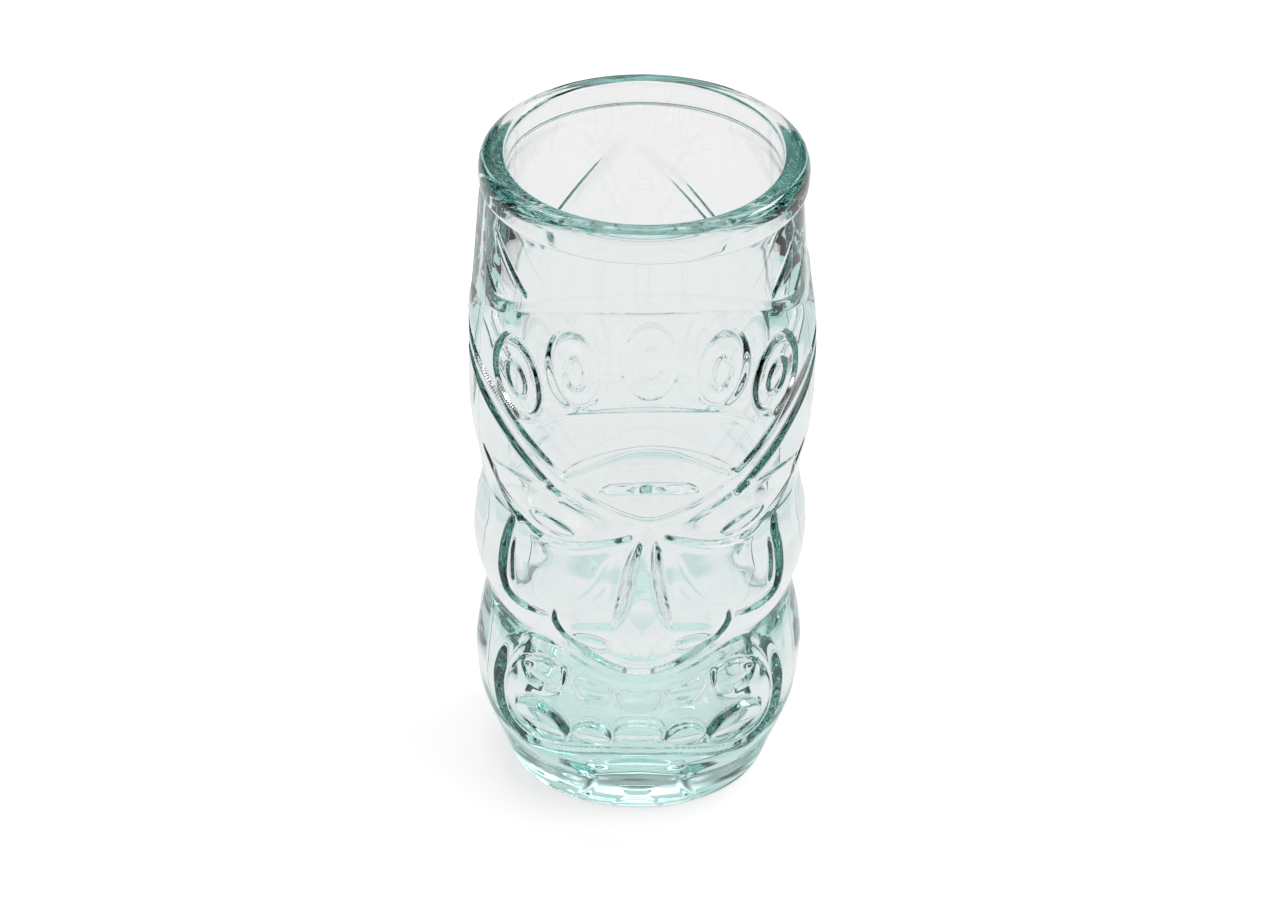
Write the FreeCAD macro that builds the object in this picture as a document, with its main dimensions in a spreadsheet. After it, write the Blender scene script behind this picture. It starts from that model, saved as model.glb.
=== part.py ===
import FreeCAD, Part
import math
import os
import Sketcher

# Tiki tumbler: one piece of pressed, recycled glass.
#
# Frame: millimetres, +Z up, the tiki face looks along -Y, X is left to right
# across the face.  The origin is the centre of the flat base, on the surface
# that the glass stands on.
#
# The glass comes from a two-part mould that opens along Y, so every line of
# the face is drawn in the front plane (X across, Z up) and follows the wall
# along Y.  Four steps make it:
#   1. the turned outer form, and the same form a little larger and smaller;
#   2. the raised shapes: front outlines cut out of the larger form;
#   3. the sunk lines and the sunk mouth: front outlines down to the smaller
#      form, then the teeth and the other shapes that stand up in them;
#   4. the cavity, taken out last, so it stays smooth.

os.makedirs("parts", exist_ok=True)
doc = FreeCAD.newDocument("tiki_tumbler")

# ---------------------------------------------------------------- dimensions
SIZES = [
    # the turned outer form: radius and height where its arcs meet
    ("mug_height", 168.0), ("foot_radius", 31.0), ("foot_edge_radius", 32.6),
    ("foot_edge_level", 2.0), ("ankle_radius", 33.4), ("ankle_level", 11.5),
    ("jaw_radius", 39.1), ("jaw_level", 31.5), ("waist_radius", 36.5),
    ("waist_level", 50.0), ("cheek_radius", 39.5), ("cheek_level", 66.0),
    ("temple_radius", 37.5), ("temple_level", 81.0), ("crown_radius", 40.5),
    ("crown_level", 113.0), ("neck_radius", 38.7), ("neck_level", 140.0),
    ("collar_radius", 37.6), ("collar_level", 158.5),
    ("bead_radius", 38.8), ("bead_low_level", 161.5), ("bead_high_level", 165.0),
    ("lip_radius", 35.6), ("mouth_radius", 32.5), ("lip_inner_level", 165.2),
    # the cavity
    ("cavity_low_radius", 29.6), ("cavity_floor_radius", 22.0),
    ("cavity_wall_level", 22.0), ("cavity_floor_level", 13.0),
    # the shallow hollow under the base
    ("punt_radius", 22.0), ("punt_depth", 1.2),
    # depth of the moulded work
    ("raise_height", 1.15), ("knob_height", 1.75), ("sink_depth", 1.3),
    ("tooth_height", 0.55), ("nose_height", 2.1),
    ("reach", 70.0),
    # levels of the features of the face
    ("disc_centre_level", 136.0), ("disc_mid_level", 131.0),
    ("disc_side_level", 124.0), ("brow_level", 90.0), ("eye_level", 86.5),
    ("nose_level", 66.0), ("cheek_line_level", 70.0), ("mouth_level", 33.5),
    ("chin_level", 18.0), ("back_apex_level", 154.0),
    # other face sizes
    ("disc_mid_offset", 17.0), ("disc_side_offset", 30.0),
    ("disc_half_width", 6.4), ("disc_side_half_width", 5.0),
    ("disc_half_height", 9.2), ("knob_half_width", 2.7),
    ("knob_side_half_width", 2.3), ("knob_half_height", 4.6),
    ("disc_rim_width", 1.3),
]
sheet = doc.addObject("Spreadsheet::Sheet", "Dims")
for row, (alias, value) in enumerate(SIZES, start=1):
    sheet.set("A%d" % row, alias)
    sheet.set("B%d" % row, "%g" % value)
    sheet.setAlias("B%d" % row, alias)
doc.recompute()
D = dict(SIZES)
V = FreeCAD.Vector


# ------------------------------------------------------------------- helpers
def new_body(name):
    return doc.addObject("PartDesign::Body", name)


def plane_of(body, role):
    for feature in body.Origin.OriginFeatures:
        if feature.Role == role:
            return feature
    raise RuntimeError("no plane " + role)


def new_sketch(body, name, role="XZ_Plane"):
    sketch = body.newObject("Sketcher::SketchObject", name)
    sketch.AttachmentSupport = [(plane_of(body, role), "")]
    sketch.MapMode = "FlatFace"
    return sketch


def pin(sketch, geo, pos, x_expr, y_expr, x_value, y_value):
    """Hold a point of the sketch at a place that the sheet gives."""
    if abs(x_value) > 1e-6:
        i = sketch.addConstraint(Sketcher.Constraint("DistanceX", -1, 1, geo, pos, x_value))
        sketch.setExpression("Constraints[%d]" % i, x_expr)
    else:
        sketch.addConstraint(Sketcher.Constraint("PointOnObject", geo, pos, -2))
    if abs(y_value) > 1e-6:
        i = sketch.addConstraint(Sketcher.Constraint("DistanceY", -1, 1, geo, pos, y_value))
        sketch.setExpression("Constraints[%d]" % i, y_expr)
    else:
        sketch.addConstraint(Sketcher.Constraint("PointOnObject", geo, pos, -1))


# The stations of the outer form, from the base up: (radius, level) aliases.
# An "arc" swells between its two ends through its own middle point.
def outer_points(delta):
    d = delta
    s = lambda r, z: (D[r] + d, D[z])
    return [
        ("line", None, (D["foot_radius"] + d, 0.0), "Dims.foot_radius", None),
        ("line", None, s("foot_edge_radius", "foot_edge_level"), "Dims.foot_edge_radius", "Dims.foot_edge_level"),
        ("line", None, s("ankle_radius", "ankle_level"), "Dims.ankle_radius", "Dims.ankle_level"),
        ("arc", s("jaw_radius", "jaw_level"), s("waist_radius", "waist_level"), "Dims.waist_radius", "Dims.waist_level"),
        ("arc", s("cheek_radius", "cheek_level"), s("temple_radius", "temple_level"), "Dims.temple_radius", "Dims.temple_level"),
        ("arc", s("crown_radius", "crown_level"), s("neck_radius", "neck_level"), "Dims.neck_radius", "Dims.neck_level"),
        ("line", None, s("collar_radius", "collar_level"), "Dims.collar_radius", "Dims.collar_level"),
    ]


def revolved(name, offset_alias=None, sign=1.0, lip=True):
    """The outer form turned about Z, grown or shrunk by a cell of the sheet."""
    body = new_body(name)
    sketch = new_sketch(body, name + "_profile")
    delta = sign * D[offset_alias] if offset_alias else 0.0
    grow = " %s Dims.%s" % ("+" if sign > 0 else "-", offset_alias) if offset_alias else ""
    pts = outer_points(delta)
    chain = []          # (geometry index, start pos, end pos)
    g = sketch.addGeometry(Part.LineSegment(V(0, 0, 0), V(pts[0][2][0], 0, 0)), False)
    chain.append((g, 1, 2))
    pin(sketch, g, 1, None, None, 0.0, 0.0)
    pin(sketch, g, 2, pts[0][3] + grow, None, pts[0][2][0], 0.0)
    previous = pts[0][2]
    for kind, mid, end, ex, ez in pts[1:]:
        if kind == "line":
            g = sketch.addGeometry(Part.LineSegment(V(*previous, 0), V(*end, 0)), False)
            start_pos, end_pos = 1, 2
        else:
            g = sketch.addGeometry(Part.Arc(V(*previous, 0), V(*mid, 0), V(*end, 0)), False)
            geo = sketch.Geometry[g]
            first = geo.StartPoint
            if (first - V(*previous, 0)).Length < 1e-4:
                start_pos, end_pos = 1, 2
            else:
                start_pos, end_pos = 2, 1
            sketch.addConstraint(Sketcher.Constraint("Radius", g, geo.Radius))
        sketch.addConstraint(Sketcher.Constraint("Coincident", chain[-1][0], chain[-1][2], g, start_pos))
        pin(sketch, g, end_pos, ex + grow, ez, end[0], end[1])
        chain.append((g, start_pos, end_pos))
        previous = end
    if lip:
        # the bead round the rim and the rounded lip
        for mid, end, ex, ez in [
            (None, (D["bead_radius"] + delta, D["bead_low_level"]), "Dims.bead_radius", "Dims.bead_low_level"),
            (None, (D["bead_radius"] + delta, D["bead_high_level"]), "Dims.bead_radius", "Dims.bead_high_level"),
            ((D["bead_radius"] + delta - 0.95, D["mug_height"] - 0.75), (D["lip_radius"] + delta, D["mug_height"]), "Dims.lip_radius", "Dims.mug_height"),
        ]:
            if mid is None:
                g = sketch.addGeometry(Part.LineSegment(V(*previous, 0), V(*end, 0)), False)
                start_pos, end_pos = 1, 2
            else:
                g = sketch.addGeometry(Part.Arc(V(*previous, 0), V(*mid, 0), V(*end, 0)), False)
                geo = sketch.Geometry[g]
                if (geo.StartPoint - V(*previous, 0)).Length < 1e-4:
                    start_pos, end_pos = 1, 2
                else:
                    start_pos, end_pos = 2, 1
                sketch.addConstraint(Sketcher.Constraint("Radius", g, geo.Radius))
            sketch.addConstraint(Sketcher.Constraint("Coincident", chain[-1][0], chain[-1][2], g, start_pos))
            pin(sketch, g, end_pos, ex + grow, ez, end[0], end[1])
            chain.append((g, start_pos, end_pos))
            previous = end
    top = previous[1]
    g = sketch.addGeometry(Part.LineSegment(V(*previous, 0), V(0, top, 0)), False)
    sketch.addConstraint(Sketcher.Constraint("Coincident", chain[-1][0], chain[-1][2], g, 1))
    sketch.addConstraint(Sketcher.Constraint("Horizontal", g))
    sketch.addConstraint(Sketcher.Constraint("PointOnObject", g, 2, -2))
    close = sketch.addGeometry(Part.LineSegment(V(0, top, 0), V(0, 0, 0)), False)
    sketch.addConstraint(Sketcher.Constraint("Coincident", g, 2, close, 1))
    sketch.addConstraint(Sketcher.Constraint("Coincident", close, 2, chain[0][0], 1))
    turned = body.newObject("PartDesign::Revolution", name + "_turned")
    turned.Profile = sketch
    turned.ReferenceAxis = (sketch, ["V_Axis"])
    turned.Angle = 360.0
    body.Tip = turned
    return body


def smooth_loop(points):
    curve = Part.BSplineCurve()
    curve.interpolate([V(x, z, 0) for x, z in points], PeriodicFlag=True)
    return [curve]


def straight_loop(points):
    n = len(points)
    return [Part.LineSegment(V(*points[i], 0), V(*points[(i + 1) % n], 0)) for i in range(n)]


def mirrored(points):
    return [(-x, z) for x, z in reversed(points)]


def prism(body, name, loops, level_expr, back=False, reach="Dims.reach"):
    """Front outlines, drawn about a level of the sheet, run along Y."""
    sketch = new_sketch(body, name + "_outline")
    if level_expr:
        sketch.setExpression("AttachmentOffset.Base.y", level_expr)
    for loop in loops:
        sketch.addGeometry(loop, False)
    pad = body.newObject("PartDesign::Pad", name + "_reach")
    pad.Profile = sketch
    pad.setExpression("Length", reach)
    pad.Reversed = back
    body.Tip = pad
    return pad


def ellipse_prism(body, name, across, level, half_x, half_z, tilt=0.0, side=1):
    """An upright oval outline: offset, level and half sizes come from the sheet."""
    sketch = new_sketch(body, name + "_outline")
    if across:
        sketch.setExpression("AttachmentOffset.Base.x", "%s Dims.%s" % ("" if side > 0 else "-1 *", across))
    sketch.setExpression("AttachmentOffset.Base.y", "Dims." + level)
    hx, hz = D[half_x], D[half_z]
    a = math.radians(tilt)
    major = V(-math.sin(a) * hz, math.cos(a) * hz, 0)
    minor = V(math.cos(a) * hx, math.sin(a) * hx, 0)
    sketch.addGeometry(Part.Ellipse(major, minor, V(0, 0, 0)), False)
    pad = body.newObject("PartDesign::Pad", name + "_reach")
    pad.Profile = sketch
    pad.setExpression("Length", "Dims.reach")
    body.Tip = pad
    return pad


def shift(points, level):
    return [(x, z - D[level]) for x, z in points]


# ------------------------------------------------- 1. the turned outer forms
glass_form = revolved("glass_form")
raise_form = revolved("raise_form", "raise_height")
knob_form = revolved("knob_form", "knob_height")
nose_form = revolved("nose_form", "nose_height")
sink_form = revolved("sink_form", "sink_depth", -1.0)
tooth_form = revolved("tooth_form", "tooth_height", -1.0)
doc.recompute()

# ------------------------------------------------------ 2. the raised shapes
raised = new_body("raised_outlines")

# the crown band: an arched band over the brow, from side to side
prism(raised, "crown_band", straight_loop(shift([
    (-50.0, 127.5), (-41.0, 130.0), (-37.2, 133.6), (-32.0, 138.0), (-26.0, 142.4), (-19.0, 145.6), (-10.0, 147.6), (0.0, 148.2),
    (10.0, 147.6), (19.0, 145.6), (26.0, 142.4), (32.0, 138.0), (37.2, 133.6), (41.0, 130.0), (50.0, 127.5),
    (50.0, 131.0 - 3.0), (41.2, 124.6), (33.0, 118.0), (26.0, 112.4), (24.6, 113.4), (20.5, 118.4), (13.5, 122.0), (6.0, 123.8), (0.0, 124.2),
    (-6.0, 123.8), (-13.5, 122.0), (-20.5, 118.4), (-24.6, 113.4), (-26.0, 112.4), (-33.0, 118.0), (-41.2, 124.6), (-50.0, 128.0)],
    "disc_mid_level")), "Dims.disc_mid_level")

# the two crescents on the forehead
prism(raised, "forehead_upper", smooth_loop(shift([
    (-19.4, 102.2), (-17.6, 106.4), (-12.6, 110.6), (-6.4, 113.3), (0.0, 114.2), (6.4, 113.3), (12.6, 110.6), (17.6, 106.4), (19.4, 102.2),
    (16.4, 102.8), (11.6, 106.8), (6.0, 109.4), (0.0, 110.3), (-6.0, 109.4), (-11.6, 106.8), (-16.4, 102.8)],
    "brow_level")), "Dims.brow_level")
prism(raised, "forehead_lower", smooth_loop(shift([
    (-10.6, 99.6), (-7.6, 102.0), (0.0, 103.2), (7.6, 102.0), (10.6, 99.6), (5.6, 99.0), (0.0, 99.0), (-5.6, 99.0)],
    "brow_level")), "Dims.brow_level")

# the brow ridge: a wide V that runs off the sides at 45 degrees
prism(raised, "brow_ridge", straight_loop(shift([
    (0.0, 92.6), (16.6, 100.8), (22.4, 101.6), (44.0, 123.0), (47.0, 120.4), (24.6, 98.6), (20.0, 94.8), (11.6, 91.2), (4.8, 87.2),
    (0.0, 85.6), (-4.8, 87.2), (-11.6, 91.2), (-20.0, 94.8), (-24.6, 98.6), (-47.0, 120.4), (-44.0, 123.0), (-22.4, 101.6), (-16.6, 100.8)],
    "brow_level")), "Dims.brow_level")

# the eyes: slanted leaves
EYE = [(5.0, 86.0), (8.6, 87.6), (13.6, 91.2), (19.6, 93.6), (26.0, 94.2), (31.6, 93.2), (35.4, 91.6), (33.8, 88.6), (29.6, 84.4),
       (24.6, 82.0), (19.0, 81.6), (13.2, 82.6), (8.4, 84.6)]
prism(raised, "eye_right", smooth_loop(shift(EYE, "eye_level")), "Dims.eye_level")
prism(raised, "eye_left", smooth_loop(shift(mirrored(EYE), "eye_level")), "Dims.eye_level")

# the cheek panels below the eyes
CHEEK = [(9.2, 78.6), (18.6, 77.4), (25.6, 77.6), (31.2, 79.4), (31.6, 72.0), (31.2, 63.0), (28.0, 60.4), (22.0, 60.0), (17.2, 61.2), (12.6, 62.0), (10.4, 66.0), (8.6, 72.0)]
prism(raised, "cheek_right", smooth_loop(shift(CHEEK, "cheek_line_level")), "Dims.cheek_line_level")
prism(raised, "cheek_left", smooth_loop(shift(mirrored(CHEEK), "cheek_line_level")), "Dims.cheek_line_level")

# the lips: a raised frame round the mouth
LIPS = [(0.0, 43.4), (10.0, 44.6), (17.0, 47.4), (23.0, 49.2), (28.4, 48.6), (31.6, 44.8), (32.8, 38.0), (32.4, 30.0), (30.4, 22.8),
        (26.2, 19.0), (20.4, 18.6), (12.0, 20.8), (0.0, 22.6)]
prism(raised, "lips", smooth_loop(shift(LIPS[:-1] + [(0.0, 22.6)] + mirrored(LIPS[1:-1]), "mouth_level")), "Dims.mouth_level")

# the upper lip: a swag under the nose
prism(raised, "upper_lip", smooth_loop(shift([
    (0.0, 46.6), (9.0, 48.6), (18.0, 53.0), (26.0, 54.6), (31.0, 52.8), (30.4, 51.0), (24.6, 51.6), (17.0, 49.4), (9.0, 46.2), (0.0, 44.6),
    (-9.0, 46.2), (-17.0, 49.4), (-24.6, 51.6), (-30.4, 51.0), (-31.0, 52.8), (-26.0, 54.6), (-18.0, 53.0), (-9.0, 48.6)],
    "mouth_level")), "Dims.mouth_level")

# the chin pad and the two foot panels
prism(raised, "chin_pad", smooth_loop(shift([
    (-19.0, 15.0), (-12.0, 18.6), (0.0, 20.8), (12.0, 18.6), (19.0, 15.0), (10.0, 15.2), (0.0, 16.6), (-10.0, 15.2)],
    "chin_level")), "Dims.chin_level")
PANEL = [(12.6, 9.6), (18.0, 9.2), (25.0, 10.4), (30.6, 12.6), (31.4, 6.0), (30.6, 1.2), (24.0, 0.9), (17.6, 1.2), (12.8, 3.6), (11.6, 6.8)]
prism(raised, "foot_panel_right", smooth_loop(shift(PANEL, "chin_level")), "Dims.chin_level")
prism(raised, "foot_panel_left", smooth_loop(shift(mirrored(PANEL), "chin_level")), "Dims.chin_level")
doc.recompute()

# the nose: a wedge that widens downwards, with its two wings
nose = new_body("nose_outlines")
NOSE = [(0.0, 88.4), (2.0, 84.0), (3.4, 78.0), (5.0, 70.0), (7.0, 62.4), (11.0, 60.4), (15.4, 58.2), (16.4, 54.6), (13.4, 51.2), (8.0, 49.0), (0.0, 47.4)]
prism(nose, "nose_ridge", smooth_loop(shift(NOSE + mirrored(NOSE[1:-1]), "nose_level")), "Dims.nose_level")
doc.recompute()

# ---------------------------------- 3. the sunk lines, and what stands in them
sunk = new_body("sunk_outlines")


def strip(points, width, tip=0.35):
    """A line with a width: tapers towards both of its ends."""
    left, right = [], []
    n = len(points)
    for i, (x, z) in enumerate(points):
        x0, z0 = points[max(i - 1, 0)]
        x1, z1 = points[min(i + 1, n - 1)]
        dx, dz = x1 - x0, z1 - z0
        length = math.hypot(dx, dz)
        t = i / float(n - 1)
        half = 0.5 * width * (tip + (1.0 - tip) * math.sin(math.pi * min(max(t, 0.0), 1.0)) ** 0.5)
        left.append((x - dz / length * half, z + dx / length * half))
        right.append((x + dz / length * half, z - dx / length * half))
    return left + list(reversed(right))


def both_sides(body, name, points, level, smooth=True):
    make = smooth_loop if smooth else straight_loop
    prism(body, name + "_right", make(shift(points, level)), "Dims." + level)
    prism(body, name + "_left", make(shift(mirrored(points), level)), "Dims." + level)


# two grooves along the brow ridge, above it and below it, out to the sides
both_sides(sunk, "brow_groove_high", [(20.6, 102.8), (20.2, 100.8), (22.2, 101.2), (46.0, 125.0), (44.4, 127.0)], "brow_level", False)
both_sides(sunk, "brow_groove_low", [(19.6, 96.6), (19.8, 94.4), (22.4, 95.2), (48.0, 120.8), (46.2, 122.8)], "brow_level", False)
# the bold line under each eye and the line beside the nose bridge
both_sides(sunk, "eye_groove", strip([(5.0, 85.4), (8.0, 83.4), (13.0, 81.2), (19.0, 79.9), (24.8, 80.1), (29.8, 82.3), (33.8, 86.6), (36.4, 91.6)], 2.3), "eye_level")
both_sides(sunk, "nose_groove", strip([(2.6, 83.6), (4.0, 77.6), (5.4, 70.6), (7.2, 61.6)], 2.0, 0.2), "nose_level")
# the upright line that ends each cheek, with its foot turned in
both_sides(sunk, "cheek_groove", strip([(33.6, 79.4), (33.6, 72.0), (33.2, 64.0), (31.8, 59.6), (27.0, 57.9), (21.0, 58.4)], 2.6), "cheek_line_level")
# the ring round each pupil
both_sides(sunk, "pupil", [(16.6, 85.0), (20.0, 86.8), (24.6, 88.6), (27.6, 88.6), (26.6, 86.4), (22.6, 84.2), (18.6, 83.7)], "eye_level")
# the nostrils
both_sides(sunk, "nostril", [(7.4, 52.0), (9.0, 55.0), (12.4, 56.6), (15.2, 55.2), (13.0, 52.2), (9.8, 50.9)], "nose_level")
# the open mouth: wide, with deeper corners
MOUTH = [(0.0, 41.2), (9.0, 42.3), (16.0, 45.0), (22.0, 46.8), (27.0, 46.0), (29.6, 42.6), (30.8, 37.6), (30.4, 30.0), (28.4, 24.4),
         (24.6, 21.4), (19.6, 21.4), (11.6, 23.8), (0.0, 25.4)]
prism(sunk, "mouth", smooth_loop(shift(MOUTH + mirrored(MOUTH[1:-1]), "mouth_level")), "Dims.mouth_level")
# the line between the jaw and the chin, and the lines between the feet
prism(sunk, "jaw_line", smooth_loop(shift([
    (-34.0, 24.0), (-30.0, 17.8), (-24.0, 15.4), (-14.0, 19.0), (0.0, 21.6), (14.0, 19.0), (24.0, 15.4), (30.0, 17.8), (34.0, 24.0),
    (31.0, 15.0), (24.0, 12.6), (13.0, 16.4), (0.0, 19.2), (-13.0, 16.4), (-24.0, 12.6), (-31.0, 15.0)],
    "chin_level")), "Dims.chin_level")
both_sides(sunk, "toe_line", strip([(17.0, -1.2), (13.6, 1.6), (11.2, 5.0), (10.6, 8.6), (13.0, 10.8)], 2.0), "chin_level")
prism(sunk, "toe_arch", smooth_loop(shift([
    (-5.4, 3.0), (-4.6, 8.0), (0.0, 9.4), (4.6, 8.0), (5.4, 3.0), (0.0, 3.8)], "chin_level")), "Dims.chin_level")
doc.recompute()

# the five discs of the crown, each an oval ring sunk round a knob
rings = new_body("ring_outlines")
ellipse_prism(rings, "ring_centre", None, "disc_centre_level", "disc_half_width", "disc_half_height")
ellipse_prism(rings, "ring_mid_right", "disc_mid_offset", "disc_mid_level", "disc_half_width", "disc_half_height", -6.0)
ellipse_prism(rings, "ring_mid_left", "disc_mid_offset", "disc_mid_level", "disc_half_width", "disc_half_height", 6.0, -1)
ellipse_prism(rings, "ring_side_right", "disc_side_offset", "disc_side_level", "disc_side_half_width", "disc_half_height", -10.0)
ellipse_prism(rings, "ring_side_left", "disc_side_offset", "disc_side_level", "disc_side_half_width", "disc_half_height", 10.0, -1)

pads = new_body("disc_outlines")
for suffix, across, level, hx, tilt, side in [
        ("centre", None, "disc_centre_level", "disc_half_width", 0.0, 1),
        ("mid_right", "disc_mid_offset", "disc_mid_level", "disc_half_width", -6.0, 1),
        ("mid_left", "disc_mid_offset", "disc_mid_level", "disc_half_width", 6.0, -1),
        ("side_right", "disc_side_offset", "disc_side_level", "disc_side_half_width", -10.0, 1),
        ("side_left", "disc_side_offset", "disc_side_level", "disc_side_half_width", 10.0, -1)]:
    D["pad_x"] = D[hx] - D["disc_rim_width"]
    D["pad_z"] = D["disc_half_height"] - D["disc_rim_width"]
    ellipse_prism(pads, "pad_" + suffix, across, level, "pad_x", "pad_z", tilt, side)

knobs = new_body("knob_outlines")
for suffix, across, level, hx, tilt, side in [
        ("centre", None, "disc_centre_level", "knob_half_width", 0.0, 1),
        ("mid_right", "disc_mid_offset", "disc_mid_level", "knob_half_width", -6.0, 1),
        ("mid_left", "disc_mid_offset", "disc_mid_level", "knob_half_width", 6.0, -1),
        ("side_right", "disc_side_offset", "disc_side_level", "knob_side_half_width", -10.0, 1),
        ("side_left", "disc_side_offset", "disc_side_level", "knob_side_half_width", 10.0, -1)]:
    ellipse_prism(knobs, "knob_" + suffix, across, level, hx, "knob_half_height", tilt, side)
doc.recompute()

# the teeth, standing in the mouth: five above, five below
teeth = new_body("tooth_outlines")
both_sides(teeth, "tooth_top_corner", [(18.8, 44.0), (23.0, 45.6), (27.4, 44.0), (28.0, 40.4), (25.0, 37.0), (21.2, 36.4), (18.6, 39.6)], "mouth_level")
both_sides(teeth, "tooth_top_side", [(8.0, 41.6), (13.0, 43.4), (16.6, 43.6), (16.4, 39.4), (12.4, 36.4), (8.2, 38.2)], "mouth_level")
prism(teeth, "tooth_top_centre", smooth_loop(shift([(-5.6, 40.4), (0.0, 40.6), (5.6, 40.4), (4.4, 37.0), (0.0, 35.8), (-4.4, 37.0)], "mouth_level")), "Dims.mouth_level")
both_sides(teeth, "tooth_low_corner", [(17.6, 24.2), (18.0, 29.0), (22.0, 31.0), (27.0, 31.2), (28.6, 28.4), (26.0, 24.4), (21.6, 22.6)], "mouth_level")
both_sides(teeth, "tooth_low_side", [(6.6, 25.6), (7.6, 29.6), (11.6, 31.0), (15.2, 29.6), (15.8, 25.6), (11.2, 24.9)], "mouth_level")
prism(teeth, "tooth_low_centre", smooth_loop(shift([(-5.4, 26.4), (-5.0, 31.0), (0.0, 32.4), (5.0, 31.0), (5.4, 26.4), (0.0, 26.1)], "mouth_level")), "Dims.mouth_level")
doc.recompute()

# the back: one raised panel whose top edge climbs to a point under the rim,
# with a line that follows that edge
back = new_body("back_outlines")
prism(back, "back_panel", straight_loop(
    [(0.0, 0.6), (22.0, -21.4), (31.0, -26.0), (41.0, -27.0), (50.0, -28.0), (50.0, -53.0), (41.0, -53.6), (30.0, -58.0), (16.0, -62.0),
     (0.0, -63.4), (-16.0, -62.0), (-30.0, -58.0), (-41.0, -53.6), (-50.0, -53.0), (-50.0, -28.0), (-41.0, -27.0), (-31.0, -26.0), (-22.0, -21.4)]),
    "Dims.back_apex_level", back=True)
back_lines = new_body("back_line_outlines")
prism(back_lines, "back_line", straight_loop(
    [(0.0, -3.6), (22.0, -25.6), (31.0, -30.6), (41.0, -32.0), (50.0, -33.0), (50.0, -35.4), (41.0, -34.4), (31.0, -33.2), (22.0, -28.4),
     (0.0, -6.6), (-22.0, -28.4), (-31.0, -33.2), (-41.0, -34.4), (-50.0, -35.4), (-50.0, -33.0), (-41.0, -32.0), (-31.0, -30.6), (-22.0, -25.6)]),
    "Dims.back_apex_level", back=True)
doc.recompute()


# ------------------------------------------------------- 4. putting it together
def boolean(kind, name, **links):
    result = doc.addObject(kind, name)
    for key, value in links.items():
        setattr(result, key, value)
    return result


raised_work = boolean("Part::Common", "raised_work", Base=raise_form, Tool=raised)
nose_work = boolean("Part::Common", "nose_work", Base=nose_form, Tool=nose)
back_work = boolean("Part::Common", "back_work", Base=raise_form, Tool=back)
blank = boolean("Part::MultiFuse", "blank", Shapes=[glass_form, raised_work, nose_work, back_work])
sunk_work = boolean("Part::Cut", "sunk_work", Base=sunk, Tool=sink_form)
ring_work = boolean("Part::Cut", "ring_work", Base=rings, Tool=glass_form)
back_line_work = boolean("Part::Cut", "back_line_work", Base=back_lines, Tool=glass_form)
front_lined = boolean("Part::Cut", "front_lined", Base=blank, Tool=sunk_work)
lined = boolean("Part::Cut", "lined", Base=front_lined, Tool=back_line_work)
ringed = boolean("Part::Cut", "ringed", Base=lined, Tool=ring_work)
pad_work = boolean("Part::Common", "pad_work", Base=raise_form, Tool=pads)
knob_work = boolean("Part::Common", "knob_work", Base=knob_form, Tool=knobs)
tooth_work = boolean("Part::Common", "tooth_work", Base=tooth_form, Tool=teeth)
solid_glass = boolean("Part::MultiFuse", "solid_glass", Shapes=[ringed, pad_work, knob_work, tooth_work])
doc.recompute()

# the cavity, with its rounded floor, and the shallow hollow under the base
cavity = new_body("cavity")
cs = new_sketch(cavity, "cavity_profile")
top = D["mug_height"] + 6.0
c0, c1 = (0.0, D["cavity_floor_level"]), (D["cavity_floor_radius"], D["cavity_floor_level"])
c2 = (D["cavity_low_radius"], D["cavity_wall_level"])
c3 = (D["mouth_radius"], D["lip_inner_level"])
c4 = (D["lip_radius"], D["mug_height"])
c5 = (D["lip_radius"], top)
bend = (c1[0] + 0.71 * (c2[0] - c1[0]), c1[1] + 0.29 * (c2[1] - c1[1]))
lipmid = (c3[0] + 0.29 * (c4[0] - c3[0]), c3[1] + 0.71 * (c4[1] - c3[1]))
for geometry in [Part.LineSegment(V(*c0, 0), V(*c1, 0)), Part.Arc(V(*c1, 0), V(*bend, 0), V(*c2, 0)),
                 Part.LineSegment(V(*c2, 0), V(*c3, 0)), Part.Arc(V(*c3, 0), V(*lipmid, 0), V(*c4, 0)),
                 Part.LineSegment(V(*c4, 0), V(*c5, 0)), Part.LineSegment(V(*c5, 0), V(0, top, 0)),
                 Part.LineSegment(V(0, top, 0), V(*c0, 0))]:
    cs.addGeometry(geometry, False)

loop = [(i, 2, (i + 1) % 7, 1) for i in range(7)]
radii = [(index, cs.Geometry[index].Radius) for index in (1, 3)]
for first, first_end, second, second_end in loop:
    cs.addConstraint(Sketcher.Constraint("Coincident", first, first_end, second, second_end))
for index, radius in radii:
    cs.addConstraint(Sketcher.Constraint("Radius", index, radius))
cs.addConstraint(Sketcher.Constraint("PointOnObject", 0, 1, -2))
cs.addConstraint(Sketcher.Constraint("PointOnObject", 5, 2, -2))
for index, end, point, ex, ez in [(0, 2, c1, "Dims.cavity_floor_radius", "Dims.cavity_floor_level"),
                                  (2, 1, c2, "Dims.cavity_low_radius", "Dims.cavity_wall_level"),
                                  (2, 2, c3, "Dims.mouth_radius", "Dims.lip_inner_level"),
                                  (4, 1, c4, "Dims.lip_radius", "Dims.mug_height"),
                                  (4, 2, c5, "Dims.lip_radius", "Dims.mug_height + 6")]:
    pin(cs, index, end, ex, ez, point[0], point[1])
cs.addConstraint(Sketcher.Constraint("Horizontal", 0))
cs.addConstraint(Sketcher.Constraint("Horizontal", 5))
turned = cavity.newObject("PartDesign::Revolution", "cavity_turned")
turned.Profile = cs
turned.ReferenceAxis = (cs, ["V_Axis"])
turned.Angle = 360.0
cavity.Tip = turned

punt = doc.addObject("Part::Cone", "punt")
punt.setExpression("Radius1", "Dims.punt_radius")
punt.setExpression("Radius2", "Dims.punt_radius * 0.8")
punt.setExpression("Height", "Dims.punt_depth")
doc.recompute()

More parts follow.
